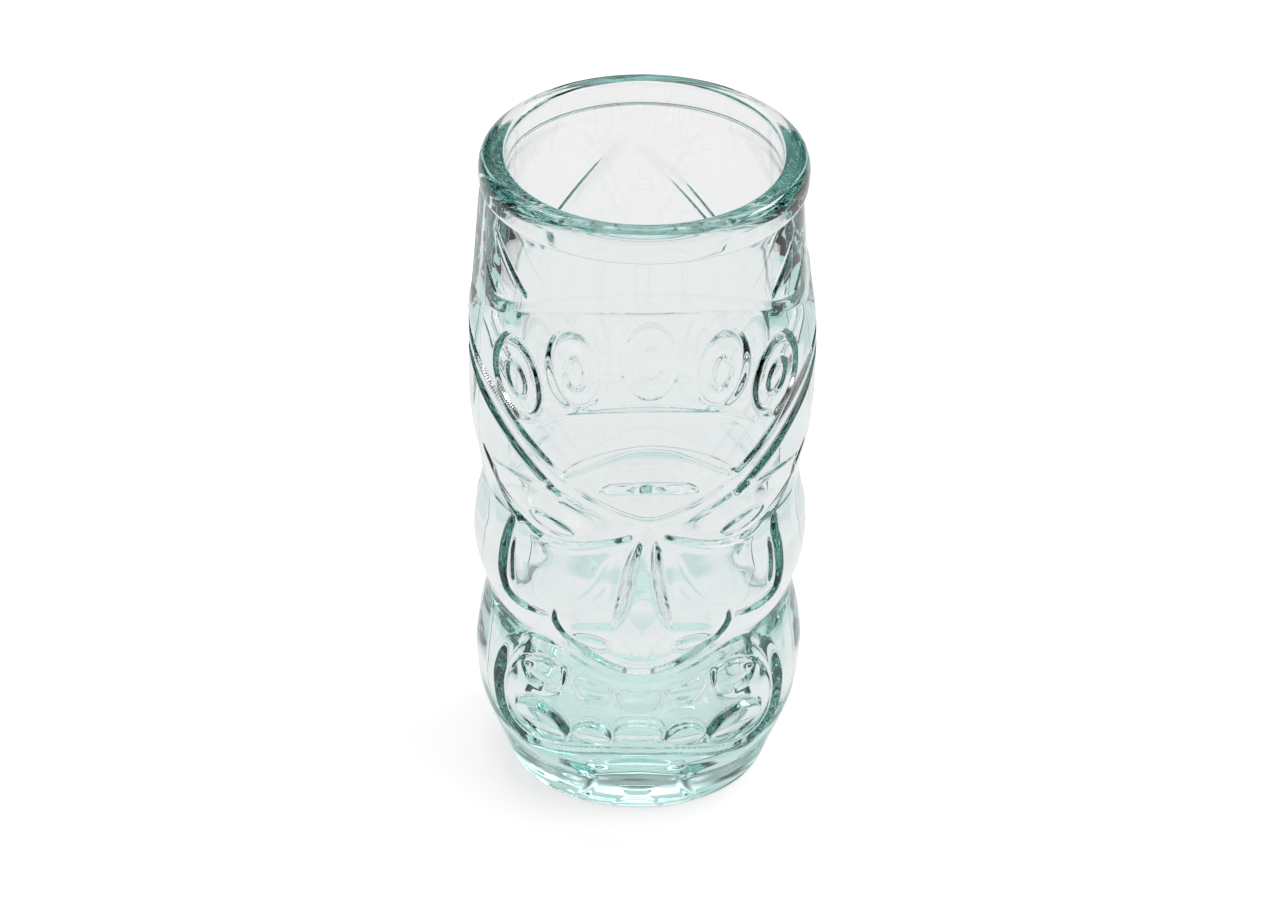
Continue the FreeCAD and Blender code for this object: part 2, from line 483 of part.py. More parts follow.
hollow = boolean("Part::MultiFuse", "hollow", Shapes=[cavity, punt])
glass = boolean("Part::Cut", "glass_tumbler", Base=solid_glass, Tool=hollow)
glass.Label = "glass_tumbler"
doc.recompute()

# ------------------------------------------------------------ checks and files
failed = [o.Name for o in doc.Objects if "Invalid" in o.State or "Error" in o.State]
if failed:
    raise SystemExit("failed objects: " + ", ".join(failed))
before = glass_form.Shape.Volume
print("form %.0f  blank %.0f  lined %.0f  ringed %.0f  solid %.0f  glass %.0f mm3" % (
    before, blank.Shape.Volume, lined.Shape.Volume, ringed.Shape.Volume,
    solid_glass.Shape.Volume, glass.Shape.Volume))
if not (blank.Shape.Volume > before and lined.Shape.Volume < blank.Shape.Volume
        and glass.Shape.Volume < solid_glass.Shape.Volume):
    raise SystemExit("a raised, sunk or hollow step changed nothing")

for piece in (glass,):
    shape = piece.Shape
    if shape.isNull() or not shape.isValid():
        raise SystemExit("bad shape: " + piece.Label)
    if len(shape.Solids) != 1:
        raise SystemExit("%s holds %d solids" % (piece.Label, len(shape.Solids)))
    box = shape.BoundBox
    print("%s: x %.2f..%.2f  y %.2f..%.2f  z %.2f..%.2f  faces %d  cavity %.0f ml" % (
        piece.Label, box.XMin, box.XMax, box.YMin, box.YMax, box.ZMin, box.ZMax, len(shape.Faces),
        (cavity.Shape.Volume - math.pi * D["lip_radius"] ** 2 * 6.0) / 1000.0))
    shape.exportStep("parts/%s.step" % piece.Label)
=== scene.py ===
import math

import bpy
import numpy as np
from mathutils import Matrix, Vector


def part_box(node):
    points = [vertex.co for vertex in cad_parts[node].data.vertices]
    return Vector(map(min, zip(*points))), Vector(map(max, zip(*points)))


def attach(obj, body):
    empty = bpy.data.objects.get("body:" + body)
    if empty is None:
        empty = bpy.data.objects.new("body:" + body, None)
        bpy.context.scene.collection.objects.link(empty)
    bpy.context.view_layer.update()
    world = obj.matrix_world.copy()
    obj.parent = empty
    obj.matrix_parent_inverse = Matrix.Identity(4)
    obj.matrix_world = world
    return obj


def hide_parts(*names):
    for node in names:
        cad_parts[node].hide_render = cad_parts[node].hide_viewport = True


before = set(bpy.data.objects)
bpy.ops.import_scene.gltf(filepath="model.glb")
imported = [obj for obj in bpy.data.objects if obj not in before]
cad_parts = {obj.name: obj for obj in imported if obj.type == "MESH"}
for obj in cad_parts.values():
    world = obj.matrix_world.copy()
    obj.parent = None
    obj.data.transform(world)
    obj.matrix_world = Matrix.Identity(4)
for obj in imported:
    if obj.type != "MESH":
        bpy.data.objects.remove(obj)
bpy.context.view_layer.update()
LO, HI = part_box("glass_tumbler")
HEIGHT = (HI.z - LO.z) * 1000.0          # mm
R_LIMIT = min(HI.x, -LO.x, HI.y, -LO.y) * 1000.0
TOP = 168.0

# =====================================================================
# The relief of the glass, drawn on its developed surface: an angle in
# degrees from the middle of the face, and a height in mm.
# =====================================================================
MM_PER_DEG = 0.70                        # arc length of a degree at r = 40 mm


def spline(points, per=8, closed=False):
    """A smooth line through the points (centripetal Catmull-Rom)."""
    p = np.array(points, float)
    n = len(p)
    if closed:
        q = np.vstack([p[-1], p, p[0], p[1]])
        segs = n
    else:
        q = np.vstack([2 * p[0] - p[1], p, 2 * p[-1] - p[-2]])
        segs = n - 1
    out = []
    for i in range(segs):
        a, b, c, d = q[i], q[i + 1], q[i + 2], q[i + 3]
        for k in range(per):
            t = k / per
            out.append(0.5 * ((2 * b) + (-a + c) * t + (2 * a - 5 * b + 4 * c - d) * t * t + (-a + 3 * b - 3 * c + d) * t ** 3))
    if not closed:
        out.append(p[-1])
    return np.array(out)


def ramp(t):
    t = np.clip(t, 0.0, 1.0)
    return t * t * (3 - 2 * t)


def soft_ramp(t):
    """Straight wall with a short rounding at each end."""
    t = np.clip(t, 0.0, 1.0)
    return 0.65 * t + 0.35 * t * t * (3 - 2 * t)


# ---- the lattice ----------------------------------------------------
TH_FRONT, TH_BACK = 0.36, 0.72
front = np.arange(-100.0, 100.0 - 1e-6, TH_FRONT)
back = np.arange(100.0, 260.0 - 1e-6, TH_BACK)
TH = np.concatenate([front, back])       # degrees, -100 .. 260
DZ = 0.36
Z = np.linspace(0.0, 1.0, 1)             # set below, along the profile
NT = len(TH)

# ---- the turned outer form (radius at each height) --------------------
PROFILE = [(0.0, 30.3), (0.5, 30.9), (1.5, 31.45), (3.0, 32.0), (6.0, 33.05), (9.0, 34.2), (12.0, 35.4), (16.0, 36.9), (20.0, 38.1), (26.0, 38.95),
           (32.0, 39.3), (38.0, 38.7), (43.0, 37.85), (47.0, 37.0), (50.5, 36.55), (55.0, 37.8), (60.0, 39.2), (66.0, 39.75), (72.0, 39.3),
           (77.0, 38.25), (81.5, 37.65), (86.0, 38.1), (91.0, 38.95), (96.0, 39.55), (102.0, 40.1), (108.0, 40.35), (114.0, 40.4), (120.0, 40.3),
           (126.0, 39.95), (132.0, 39.35), (140.0, 38.75), (146.0, 38.35), (152.0, 37.95), (156.5, 37.55), (159.2, 37.22), (159.85, 37.18),
           (160.1, 37.4), (160.2, 37.95), (160.4, 38.4), (160.85, 38.68), (161.8, 38.83), (163.2, 38.88), (164.6, 38.85), (165.6, 38.65), (166.5, 38.25), (167.2, 37.6), (167.7, 36.8), (167.95, 36.0)]


def smooth_curve(pts, step):
    """Monotone cubic (Fritsch-Carlson) through (z, r)."""
    z = np.array([p[0] for p in pts]); r = np.array([p[1] for p in pts])
    h = np.diff(z); d = np.diff(r) / h
    m = np.zeros(len(z))
    m[0], m[-1] = d[0], d[-1]
    for i in range(1, len(z) - 1):
        if d[i - 1] * d[i] > 0:
            w1, w2 = 2 * h[i] + h[i - 1], h[i] + 2 * h[i - 1]
            m[i] = (w1 + w2) / (w1 / d[i - 1] + w2 / d[i])
    zz = np.concatenate([np.linspace(z[i], z[i + 1], max(2, int(math.ceil(h[i] / step)) + 1))[:-1] for i in range(len(h))] + [[z[-1]]])
    i = np.clip(np.searchsorted(z, zz, side="right") - 1, 0, len(h) - 1)
    t = (zz - z[i]) / h[i]
    rr = ((1 + 2 * t) * (1 - t) ** 2 * r[i] + t * (1 - t) ** 2 * h[i] * m[i]
          + t * t * (3 - 2 * t) * r[i + 1] + t * t * (t - 1) * h[i] * m[i + 1])
    return zz, rr


ZZ, RB = smooth_curve(PROFILE, DZ)
NZ = len(ZZ)
S = TH * MM_PER_DEG                      # arc coordinate, mm (front 0)
GT0, GZ = np.meshgrid(TH, ZZ)            # [NZ, NT], true angle
# the storeys of the face don't sit exactly over each other: a small drift, in degrees
DRIFT = np.interp(ZZ, [0, 44, 52, 76, 84, 112, 122, 168], [-1.5, -1.5, -0.7, -0.7, 1.2, 1.2, 0.4, 0.4])[:, None] * ramp((120.0 - np.abs(GT0)) / 40.0)
GTH = GT0 - DRIFT
GS = GTH * MM_PER_DEG
H = np.zeros_like(GS)                    # relief, mm outwards


def window(lo_s, hi_s, lo_z, hi_z, pad):
    """Index slices of the lattice round a box in (s, z)."""
    i0, i1 = np.searchsorted(ZZ, [lo_z - pad, hi_z + pad])
    j0, j1 = np.searchsorted(S, [lo_s - pad - 1.5, hi_s + pad + 1.5])
    return slice(max(i0, 0), min(i1 + 1, NZ)), slice(max(j0, 0), min(j1 + 1, NT))


def to_s(points):
    p = np.array(points, float)
    q = p.copy()
    q[:, 0] *= MM_PER_DEG
    return q


def mirror(points):
    return [(-x, z) for x, z in points]


def seg_distance(xs, zs, a, b):
    """Distance, position along and side of every lattice point to a segment."""
    d = b - a
    L2 = float(d @ d) + 1e-12
    t = np.clip(((xs - a[0]) * d[0] + (zs - a[1]) * d[1]) / L2, 0.0, 1.0)
    px, pz = xs - (a[0] + t * d[0]), zs - (a[1] + t * d[1])
    side = d[0] * (zs - a[1]) - d[1] * (xs - a[0])
    return np.hypot(px, pz), t, side


def line_field(points, pad, centre=True, per=8, smooth=True):
    """Signed distance to an open line (positive to its left), and 0..1 along it."""
    line = to_s(spline(points, per) if smooth else points)
    w = window(line[:, 0].min(), line[:, 0].max(), line[:, 1].min(), line[:, 1].max(), pad)
    xs, zs = GS[w], GZ[w]
    best = np.full(xs.shape, 1e9); along = np.zeros(xs.shape); sign = np.ones(xs.shape)
    lengths = np.hypot(*np.diff(line, axis=0).T)
    total, run = lengths.sum(), 0.0
    for i in range(len(line) - 1):
        d, t, side = seg_distance(xs, zs, line[i], line[i + 1])
        m = d < best
        best[m] = d[m]; along[m] = ((run + t * lengths[i]) / total)[m]; sign[m] = np.where(side[m] >= 0, 1.0, -1.0)
        run += lengths[i]
    return w, best, best * sign, along


def loop_field(points, pad, per=8, smooth=True):
    """Signed distance to a closed outline: positive inside."""
    line = to_s(spline(points, per, True) if smooth else points)
    w = window(line[:, 0].min(), line[:, 0].max(), line[:, 1].min(), line[:, 1].max(), pad)
    xs, zs = GS[w], GZ[w]
    best = np.full(xs.shape, 1e9); inside = np.zeros(xs.shape, bool)
    n = len(line)
    for i in range(n):
        a, b = line[i], line[(i + 1) % n]
        d, _, _ = seg_distance(xs, zs, a, b)
        best = np.minimum(best, d)
        crosses = (a[1] > zs) != (b[1] > zs)
        if abs(b[1] - a[1]) > 1e-9:
            inside ^= crosses & (xs < (b[0] - a[0]) * (zs - a[1]) / (b[1] - a[1]) + a[0])
    return w, np.where(inside, best, -best)


def along_scale(along, keys):
    """Factor along a line, from (place 0..1, factor) keys."""
    return np.interp(along, [k[0] for k in keys], [k[1] for k in keys])


ROUND = ((0.0, 0.3), (0.1, 1.0), (0.9, 1.0), (1.0, 0.3))
BLUNT = ((0.0, 0.75), (0.03, 1.0), (0.97, 1.0), (1.0, 0.75))
LEAF = ((0.0, 0.12), (0.3, 0.85), (0.5, 1.0), (0.7, 0.85), (1.0, 0.12))


def groove(points, inner, outer, depth, flat=0.1, keys=ROUND, both=True, flip=False, straight=False):
    """A channel along a line.  inner is the wall to the left of the line as drawn on the
    +X half of the face, outer the wall to its right."""
    for pts in ((points, mirror(points)) if both else (points,)):
        w, dist, signed, along = line_field(pts, max(inner, outer) + 1.0)
        sgn = signed if pts is points else -signed
        if flip:
            sgn = -sgn
        k = along_scale(along, keys)
        wall = np.where(sgn > 0, inner, outer) * (0.35 + 0.65 * k)
        t = (dist - flat * k) / np.maximum(wall - flat * k, 1e-3)
        H[w] = H[w] - depth * k * (1 - (ramp(t) if straight else soft_ramp(t)))


def raise_loop(points, height, edge, both=True, per=8, smooth=True, inset=0.0):
    """A plateau with a bevelled edge inside its outline."""
    for pts in ((points, mirror(points)) if both else (points,)):
        w, d = loop_field(pts, 1.0, per, smooth)
        H[w] += height * soft_ramp((d - inset) / edge)


def dome_loop(points, height, reach, both=True, power=2.0, inset=0.0):
    """A pillow: it rises from its outline over a reach, and flattens."""
    for pts in ((points, mirror(points)) if both else (points,)):
        w, d = loop_field(pts, 1.0)
        t = np.clip((d - inset) / reach, 0.0, 1.0)
        H[w] += height * (1 - (1 - t) ** power)


def oval(cx, cz, hx, hz, tilt=0.0, n=28):
    """An oval outline: half width and half height in mm, tilt leans its top outwards."""
    a = np.linspace(0, 2 * math.pi, n, endpoint=False)
    t = math.radians(tilt)
    x, z = hx * np.cos(a), hz * np.sin(a)
    return [(cx + (xx * math.cos(t) + zz * math.sin(t)) / MM_PER_DEG, cz - xx * math.sin(t) + zz * math.cos(t)) for xx, zz in zip(x, z)]


# ---- forehead and temples stand a little proud of the turned form ----------
H += 0.5 * ramp((GZ - 88.0) / 9.0) * ramp((128.0 - GZ) / 7.0) * ramp((101.0 - np.abs(GTH)) / 5.0)

# ---- crown band: it flares out from a faint arched crease to its lower edge ----
CROWN = [(-102, 131.6), (-90, 131.4), (-78, 132.4), (-70, 134.0), (-60, 136.4), (-50, 139.6), (-40, 142.4), (-30, 144.8), (-20, 146.4), (-10, 147.3), (0, 147.6),
         (10, 147.3), (20, 146.4), (30, 144.8), (40, 142.4), (50, 139.6), (60, 136.4), (70, 134.0), (78, 132.4), (90, 131.4), (102, 131.6)]
w, dist, signed, along = line_field(CROWN, 200.0, per=6)
reach = 9.0 - 3.5 * ramp((np.abs(GTH[w]) - 70.0) / 20.0)
flare = np.clip(-signed / reach, 0.0, 1.0)
H[w] += (1.15 - 0.5 * ramp((128.0 - GZ[w]) / 7.0)) * (1 - (1 - flare) ** 2) * (np.abs(GTH[w]) <= 101.0)
H[w] -= 0.10 * np.exp(-(signed / 0.35) ** 2) * (np.abs(GTH[w]) <= 101.0)
groove([(38.0, 113.6), (33.0, 117.0), (25.0, 120.1), (15.0, 122.2), (7.0, 123.2), (0.0, 123.5), (-7.0, 123.2), (-15.0, 122.2), (-25.0, 120.1), (-33.0, 117.0), (-38.0, 113.6)], 1.5, 0.9, 0.75, 0.1,
       ((0.0, 0.2), (0.2, 0.7), (0.5, 1.0), (0.8, 0.7), (1.0, 0.2)), both=False)
groove([(33.0, 114.2), (25.0, 117.6), (14.0, 119.9), (0.0, 120.9), (-14.0, 119.9), (-25.0, 117.6), (-33.0, 114.2)], 0.6, 0.6, 0.16, 0.05, both=False)

# ---- five discs: an oval groove round a domed ring with a knob ------------
# (middle, half width, half height, lean, both sides, groove depth on the outer low side, and elsewhere, knob depth)
DISCS = [(0.5, 135.4, 6.6, 9.7, 0.0, False, 0.45, 0.35, 0.40), (25.0, 131.0, 6.5, 9.6, 8.0, True, 2.1, 0.35, 1.0), (47.6, 123.4, 7.0, 9.8, 20.0, True, 2.1, 1.1, 1.7)]
for cx, cz, hx, hz, lean, both, strong, weak, knob_depth in DISCS:
    for side in ((1, -1) if both else (1,)):
        o = oval(cx, cz, hx, hz, lean)
        pts = o if side > 0 else mirror(o)
        w, d = loop_field(pts, 2.5, per=3)
        away = np.arctan2(GZ[w] - cz, (GTH[w] * side - cx) * MM_PER_DEG)           # 0 on the outer side
        k = 0.5 + 0.5 * np.cos(away + math.radians(25 if both else 90))
        depth = weak + (strong - weak) * k ** 1.5
        H[w] -= depth * (1 - soft_ramp((np.abs(d) - 0.05) / (0.45 + 0.45 * depth)))       # groove round the disc
        H[w] += (0.45 if both else 0.1) * ramp(d / 2.0)                                     # domed ring
        kx, kz = cx - (0.6 if both else 0.0), cz - 0.2
        knob = oval(kx, kz, hx * 0.37, hz * 0.44, lean)
        kp = knob if side > 0 else mirror(knob)
        w, d = loop_field(kp, 2.5, per=3)
        away = np.arctan2(GZ[w] - kz, (GTH[w] * side - kx) * MM_PER_DEG)
        k = (0.25 if cx < 40 else 0.6) + (0.75 if cx < 40 else 0.4) * (0.5 + 0.5 * np.cos(away + math.radians(60))) ** 1.5
        H[w] -= knob_depth * k * (1 - soft_ramp((np.abs(d) - 0.05) / (0.45 + 0.35 * knob_depth)))
        t = np.clip(d / 2.4, 0, 1)
        H[w] += 0.6 * knob_depth * (1 - (1 - t) ** 2)

# ---- the V of the brow: a sunk channel with steep sides and a flat bed, from nose to temples ----
VEE_TOP = [(92.0, 124.4), (84.0, 123.0), (76.0, 121.4), (68.0, 119.2), (60.0, 116.5), (50.0, 112.0), (40.0, 106.9), (33.0, 103.0), (29.0, 100.6)]
VEE_LOW = [(92.0, 119.0), (84.0, 118.2), (76.0, 116.6), (68.0, 113.6), (60.0, 110.4), (50.0, 105.6), (40.0, 100.4), (34.0, 96.8), (31.0, 94.8)]
groove(VEE_TOP, 0.75, 1.6, 3.0, 0.05, ((0.0, 0.25), (0.15, 0.6), (0.35, 1.0), (0.98, 1.0), (1.0, 0.6)), flip=True, straight=True)
groove(VEE_LOW, 0.85, 2.0, 3.1, 0.1, ((0.0, 0.25), (0.15, 0.6), (0.35, 1.0), (0.95, 1.0), (1.0, 0.5)), flip=True, straight=True)
# the bridge between the eyes: the edge of the V goes on, shallow, to the middle
groove([(27.0, 100.0), (23.0, 97.6), (16.0, 95.0), (8.0, 92.4), (0.0, 90.9), (-8.0, 92.4), (-16.0, 95.0), (-23.0, 97.6), (-27.0, 100.0)], 0.9, 0.8, 0.9, 0.05, ((0.0, 0.4), (0.1, 0.8), (0.25, 1.0), (0.5, 0.8), (0.75, 1.0), (0.9, 0.8), (1.0, 0.4)), both=False, straight=True)

# ---- forehead crescents ----------------------------------------------------
UPPER = [(-29.5, 102.6), (-25.5, 105.6), (-20.0, 108.6), (-12.0, 111.3), (-6.0, 112.4), (0.0, 112.8), (6.0, 112.4), (12.0, 111.3), (20.0, 108.6), (25.5, 105.6), (29.5, 102.6),
         (27.5, 100.9), (24.0, 102.6), (17.0, 105.8), (10.0, 108.4), (5.0, 109.6), (0.0, 109.9), (-5.0, 109.6), (-10.0, 108.4), (-17.0, 105.8), (-24.0, 102.6), (-27.5, 100.9)]
w, d = loop_field(UPPER, 1.0, per=5)
H[w] -= 0.55 * soft_ramp(d / 0.7)
groove([(-28.0, 102.6), (-24.0, 105.4), (-16.0, 108.9), (-8.0, 111.2), (0.0, 112.0), (8.0, 111.2), (16.0, 108.9), (24.0, 105.4), (28.0, 102.6)], 0.7, 2.2, 0.5, 0.05,
       ((0.0, 0.5), (0.3, 0.7), (0.5, 1.6), (0.7, 0.7), (1.0, 0.5)), both=False)
groove([(-16.5, 98.9), (-11.0, 99.6), (-5.0, 100.1), (0.0, 100.3), (5.0, 100.1), (11.0, 99.6), (16.5, 98.9)], 2.5, 1.4, 3.4, 0.0,
       ((0.0, 0.1), (0.12, 0.85), (0.5, 1.0), (0.88, 0.85), (1.0, 0.1)), both=False, straight=True)

# ---- the eyes -------------------------------------------------------------------
EYE = [(7.0, 85.6), (11.0, 88.0), (17.0, 90.8), (24.0, 93.0), (32.0, 94.2), (42.0, 94.8), (52.0, 94.6), (60.0, 93.6), (66.0, 91.4), (62.0, 87.4), (56.0, 84.3),
       (49.0, 82.2), (42.0, 81.0), (34.0, 80.6), (25.0, 81.2), (16.0, 82.8), (10.0, 84.2)]
dome_loop(EYE, 1.1, 5.0)
groove([(6.6, 85.0), (10.0, 84.0), (15.0, 82.8), (20.0, 81.6), (27.0, 80.3), (35.0, 79.7), (42.0, 80.3), (49.0, 82.2), (55.0, 84.8), (61.0, 88.4), (66.0, 92.4), (69.0, 96.0)], 0.9, 1.1, 2.4, 0.0,
       ((0.0, 0.9), (0.05, 1.1), (0.2, 0.95), (0.4, 0.9), (0.6, 1.0), (0.9, 1.0), (1.0, 0.5)), straight=True)
groove([(40.0, 79.6), (46.0, 80.8), (52.0, 83.0), (58.0, 86.2), (63.0, 90.0), (66.0, 94.2)], 0.7, 2.3, 1.9, 0.1,
       ((0.0, 0.2), (0.3, 0.9), (0.9, 1.0), (1.0, 0.6)), straight=True)
groove([(63.0, 95.0), (56.0, 95.8), (48.0, 96.0), (40.0, 96.2), (34.0, 96.0), (29.0, 94.8), (22.0, 92.6), (15.0, 90.2), (10.0, 88.0)], 0.7, 0.8, 1.3, 0.05,
       ((0.0, 0.4), (0.2, 0.8), (0.5, 0.8), (0.62, 1.5), (0.72, 1.2), (0.8, 0.6), (1.0, 0.3)))
groove([(58.5, 90.6), (52.0, 87.4), (44.0, 83.9)], 0.45, 0.45, 0.35, 0.05)
PUPIL = oval(34.5, 85.4, 6.4, 2.3, -16.0)
for pts in (PUPIL, mirror(PUPIL)):
    w, d = loop_field(pts, 2.0, per=3)
    H[w] -= 0.5 * (1 - soft_ramp((np.abs(d) - 0.05) / 0.65))
    H[w] += 0.3 * ramp(d / 1.6)

# ---- the nose -----------------------------------------------------------------------
NOSE = [(0.0, 89.0), (2.4, 85.0), (3.6, 80.0), (5.6, 72.0), (8.0, 65.0), (11.0, 61.6), (15.0, 60.6), (20.0, 60.0), (25.5, 58.4), (27.0, 55.2), (24.0, 52.0), (17.0, 49.6), (8.0, 47.7), (0.0, 47.0)]
NOSE_LOOP = NOSE + [(-x, z) for x, z in reversed(NOSE[1:-1])]
w, d = loop_field(NOSE_LOOP, 1.0)
H[w] += 0.8 * soft_ramp(d / 2.2)
ridge = np.exp(-(GTH[w] / (3.0 + 0.14 * np.clip(88.0 - GZ[w], 0, 40))) ** 2) * ramp((90.0 - GZ[w]) / 34.0)
H[w] += 0.9 * ridge * ramp(d / 2.5)
groove([(2.7, 83.0), (3.7, 79.4), (4.9, 74.6), (6.1, 69.6), (7.6, 64.6), (9.3, 60.4)], 1.95, 1.15, 4.8, 0.0,
       ((0.0, 0.25), (0.1, 0.8), (0.3, 1.0), (0.65, 1.0), (0.85, 0.75), (1.0, 0.25)), straight=True)
groove([(31.5, 61.0), (31.8, 57.6), (29.6, 54.0), (25.6, 51.4), (18.0, 49.0), (8.0, 46.6), (0.0, 45.9), (-8.0, 46.6), (-18.0, 49.0), (-25.6, 51.4), (-29.6, 54.0), (-31.8, 57.6), (-31.5, 61.0)], 0.85, 0.95, 2.0, 0.05,
       ((0.0, 0.5), (0.05, 1.2), (0.2, 1.3), (0.3, 0.9), (0.5, 0.9), (0.7, 0.9), (0.8, 1.3), (0.95, 1.2), (1.0, 0.5)), both=False, straight=True)
groove([(0.9, 48.6), (3.2, 52.0), (6.0, 55.6), (9.0, 59.0)], 0.5, 0.5, 0.3, 0.05)
groove([(0.0, 60.0), (0.0, 54.0), (0.0, 49.0)], 0.7, 0.7, -0.35, 0.05, both=False)
NOSTRIL = oval(18.0, 53.4, 4.6, 2.6, -4.0)
for pts in (NOSTRIL, mirror(NOSTRIL)):
    w, d = loop_field(pts, 1.5, per=3)
    H[w] -= 0.65 * (1 - soft_ramp((np.abs(d) - 0.05) / 0.7))
    H[w] += 0.5 * ramp(d / 2.2)

# ---- the cheeks --------------------------------------------------------------------------
CHEEK = [(12.0, 79.8), (20.0, 78.8), (30.0, 77.4), (40.0, 77.4), (48.0, 78.6), (52.4, 76.0), (52.8, 68.0), (51.6, 62.6), (46.0, 61.2), (38.0, 61.6), (30.0, 62.2), (20.0, 63.8), (13.0, 65.4), (10.6, 72.0)]
dome_loop(CHEEK, 0.6, 6.0)
groove([(55.0, 79.6), (55.8, 74.0), (56.2, 68.0), (56.0, 63.0), (54.0, 59.6), (49.0, 58.2), (42.0, 58.2), (35.0, 58.8)], 1.0, 2.4, 2.3, 0.2,
       ((0.0, 0.7), (0.06, 1.0), (0.5, 1.0), (0.7, 0.8), (1.0, 0.3)))
groove([(50.2, 76.0), (50.0, 72.0), (49.4, 68.0), (48.8, 64.6)], 1.3, 0.9, 1.3, 0.1, straight=True)
groove([(33.0, 61.4), (24.0, 66.0), (17.0, 72.0), (12.5, 78.0)], 0.5, 0.5, 0.22, 0.05)
groove([(22.5, 64.0), (17.0, 67.5), (12.5, 72.0)], 0.4, 0.4, 0.18, 0.05)

# ---- the upper lip: a soft swag between nose and mouth -------------------------------------------
groove([(50.0, 47.0), (44.0, 49.4), (36.0, 49.8), (28.0, 48.6), (20.0, 46.6), (10.0, 44.6), (0.0, 43.8), (-10.0, 44.6), (-20.0, 46.6), (-28.0, 48.6), (-36.0, 49.8), (-44.0, 49.4), (-50.0, 47.0)], 0.6, 0.7, 0.6, 0.05, ((0.0, 0.6), (0.15, 1.0), (0.5, 0.7), (0.85, 1.0), (1.0, 0.6)), both=False)

# ---- the mouth -----------------------------------------------------------------------------------
MOUTH_HALF = [(0.0, 40.6), (8.0, 41.1), (16.0, 42.4), (24.0, 44.2), (32.0, 45.4), (40.0, 45.0), (46.5, 42.8), (51.0, 39.2), (53.6, 34.4), (54.2, 29.6), (52.6, 25.0), (48.4, 22.0), (42.0, 20.9), (34.0, 21.5), (26.0, 22.9), (18.0, 24.4), (9.0, 25.5), (0.0, 25.9)]
MOUTH_LOOP = MOUTH_HALF + [(-x, z) for x, z in reversed(MOUTH_HALF[1:-1])]
w, d = loop_field(MOUTH_LOOP, 4.0)
upper_part = ramp((GZ[w] - 34.0) / 5.0)
H[w] += 0.22 * np.exp(-((d - 0.2) / 0.5) ** 2)                    # the fine bright edge
H[w] -= (0.25 + 0.65 * upper_part) * soft_ramp((d - 0.2) / (0.7 + 4.0 * (1 - upper_part)))   # it drops under the upper lip
# the channel outside the lips: steep against the mouth, a long slope beyond
groove([(47.0, 46.4), (51.6, 42.8), (54.8, 38.6), (56.3, 33.0), (56.4, 28.0), (54.8, 23.6), (50.4, 20.6), (44.0, 19.2), (36.0, 19.0)], 1.0, 3.9, 2.0, 0.2,
       ((0.0, 0.25), (0.12, 0.9), (0.6, 1.0), (0.85, 0.7), (1.0, 0.1)), flip=True)
groove([(52.0, 20.6), (45.0, 19.0), (36.0, 19.0), (26.0, 20.6), (14.0, 22.5), (5.0, 23.1), (0.0, 23.2), (-5.0, 23.1), (-14.0, 22.5), (-26.0, 20.6), (-36.0, 19.0), (-45.0, 19.0), (-52.0, 20.6)], 1.35, 1.4, 3.1, 0.0,
       ((0.0, 0.1), (0.12, 0.7), (0.3, 0.9), (0.5, 1.0), (0.7, 0.9), (0.88, 0.7), (1.0, 0.1)), both=False, flip=True, straight=True)

# teeth: five above and five below, each a pillow of its own in a fine groove
TEETH_TOP = [([(28.4, 44.0), (35.0, 44.6), (41.0, 43.8), (46.8, 41.0), (45.0, 38.4), (40.0, 36.6), (34.0, 36.2), (29.0, 37.8), (27.4, 41.0)], 1.3, True),
             ([(10.4, 41.0), (16.0, 42.0), (22.6, 43.2), (24.2, 40.6), (21.0, 38.0), (16.0, 37.0), (11.4, 37.8), (9.8, 39.4)], 1.2, True),
             ([(-7.8, 40.2), (0.0, 40.0), (7.8, 40.2), (7.2, 36.8), (4.0, 35.0), (-4.0, 35.0), (-7.2, 36.8)], 1.0, False)]
TEETH_LOW = [([(25.6, 25.4), (26.4, 29.0), (31.0, 31.6), (38.0, 32.6), (45.0, 31.4), (47.6, 28.4), (43.0, 25.0), (36.0, 23.4), (29.0, 23.4)], 2.3, True),
             ([(9.4, 26.2), (10.2, 29.4), (14.0, 31.2), (19.0, 31.0), (23.0, 28.8), (24.2, 26.4), (21.0, 25.0), (14.0, 25.4)], 1.8, True),
             ([(-8.4, 27.0), (-7.8, 31.0), (-4.0, 32.7), (4.0, 32.7), (7.8, 31.0), (8.4, 27.0), (0.0, 26.4)], 1.8, False)]
for pts, height, both in TEETH_TOP + TEETH_LOW:
    low, high = min(q[1] for q in pts), max(q[1] for q in pts)
    for p in ((pts, mirror(pts)) if both else (pts,)):
        w, d = loop_field(p, 2.0)
        H[w] += height * np.minimum(ramp(d / (0.55 * height)), ramp((GZ[w] - low) / (0.62 * (high - low))))
        H[w] -= 0.32 * height * np.exp(-((d + 0.3) / 0.42) ** 2)

groove([(47.4, 41.8), (44.4, 39.4), (40.4, 37.8), (35.0, 37.0)], 0.5, 1.4, 1.7, 0.0, flip=True, straight=True)

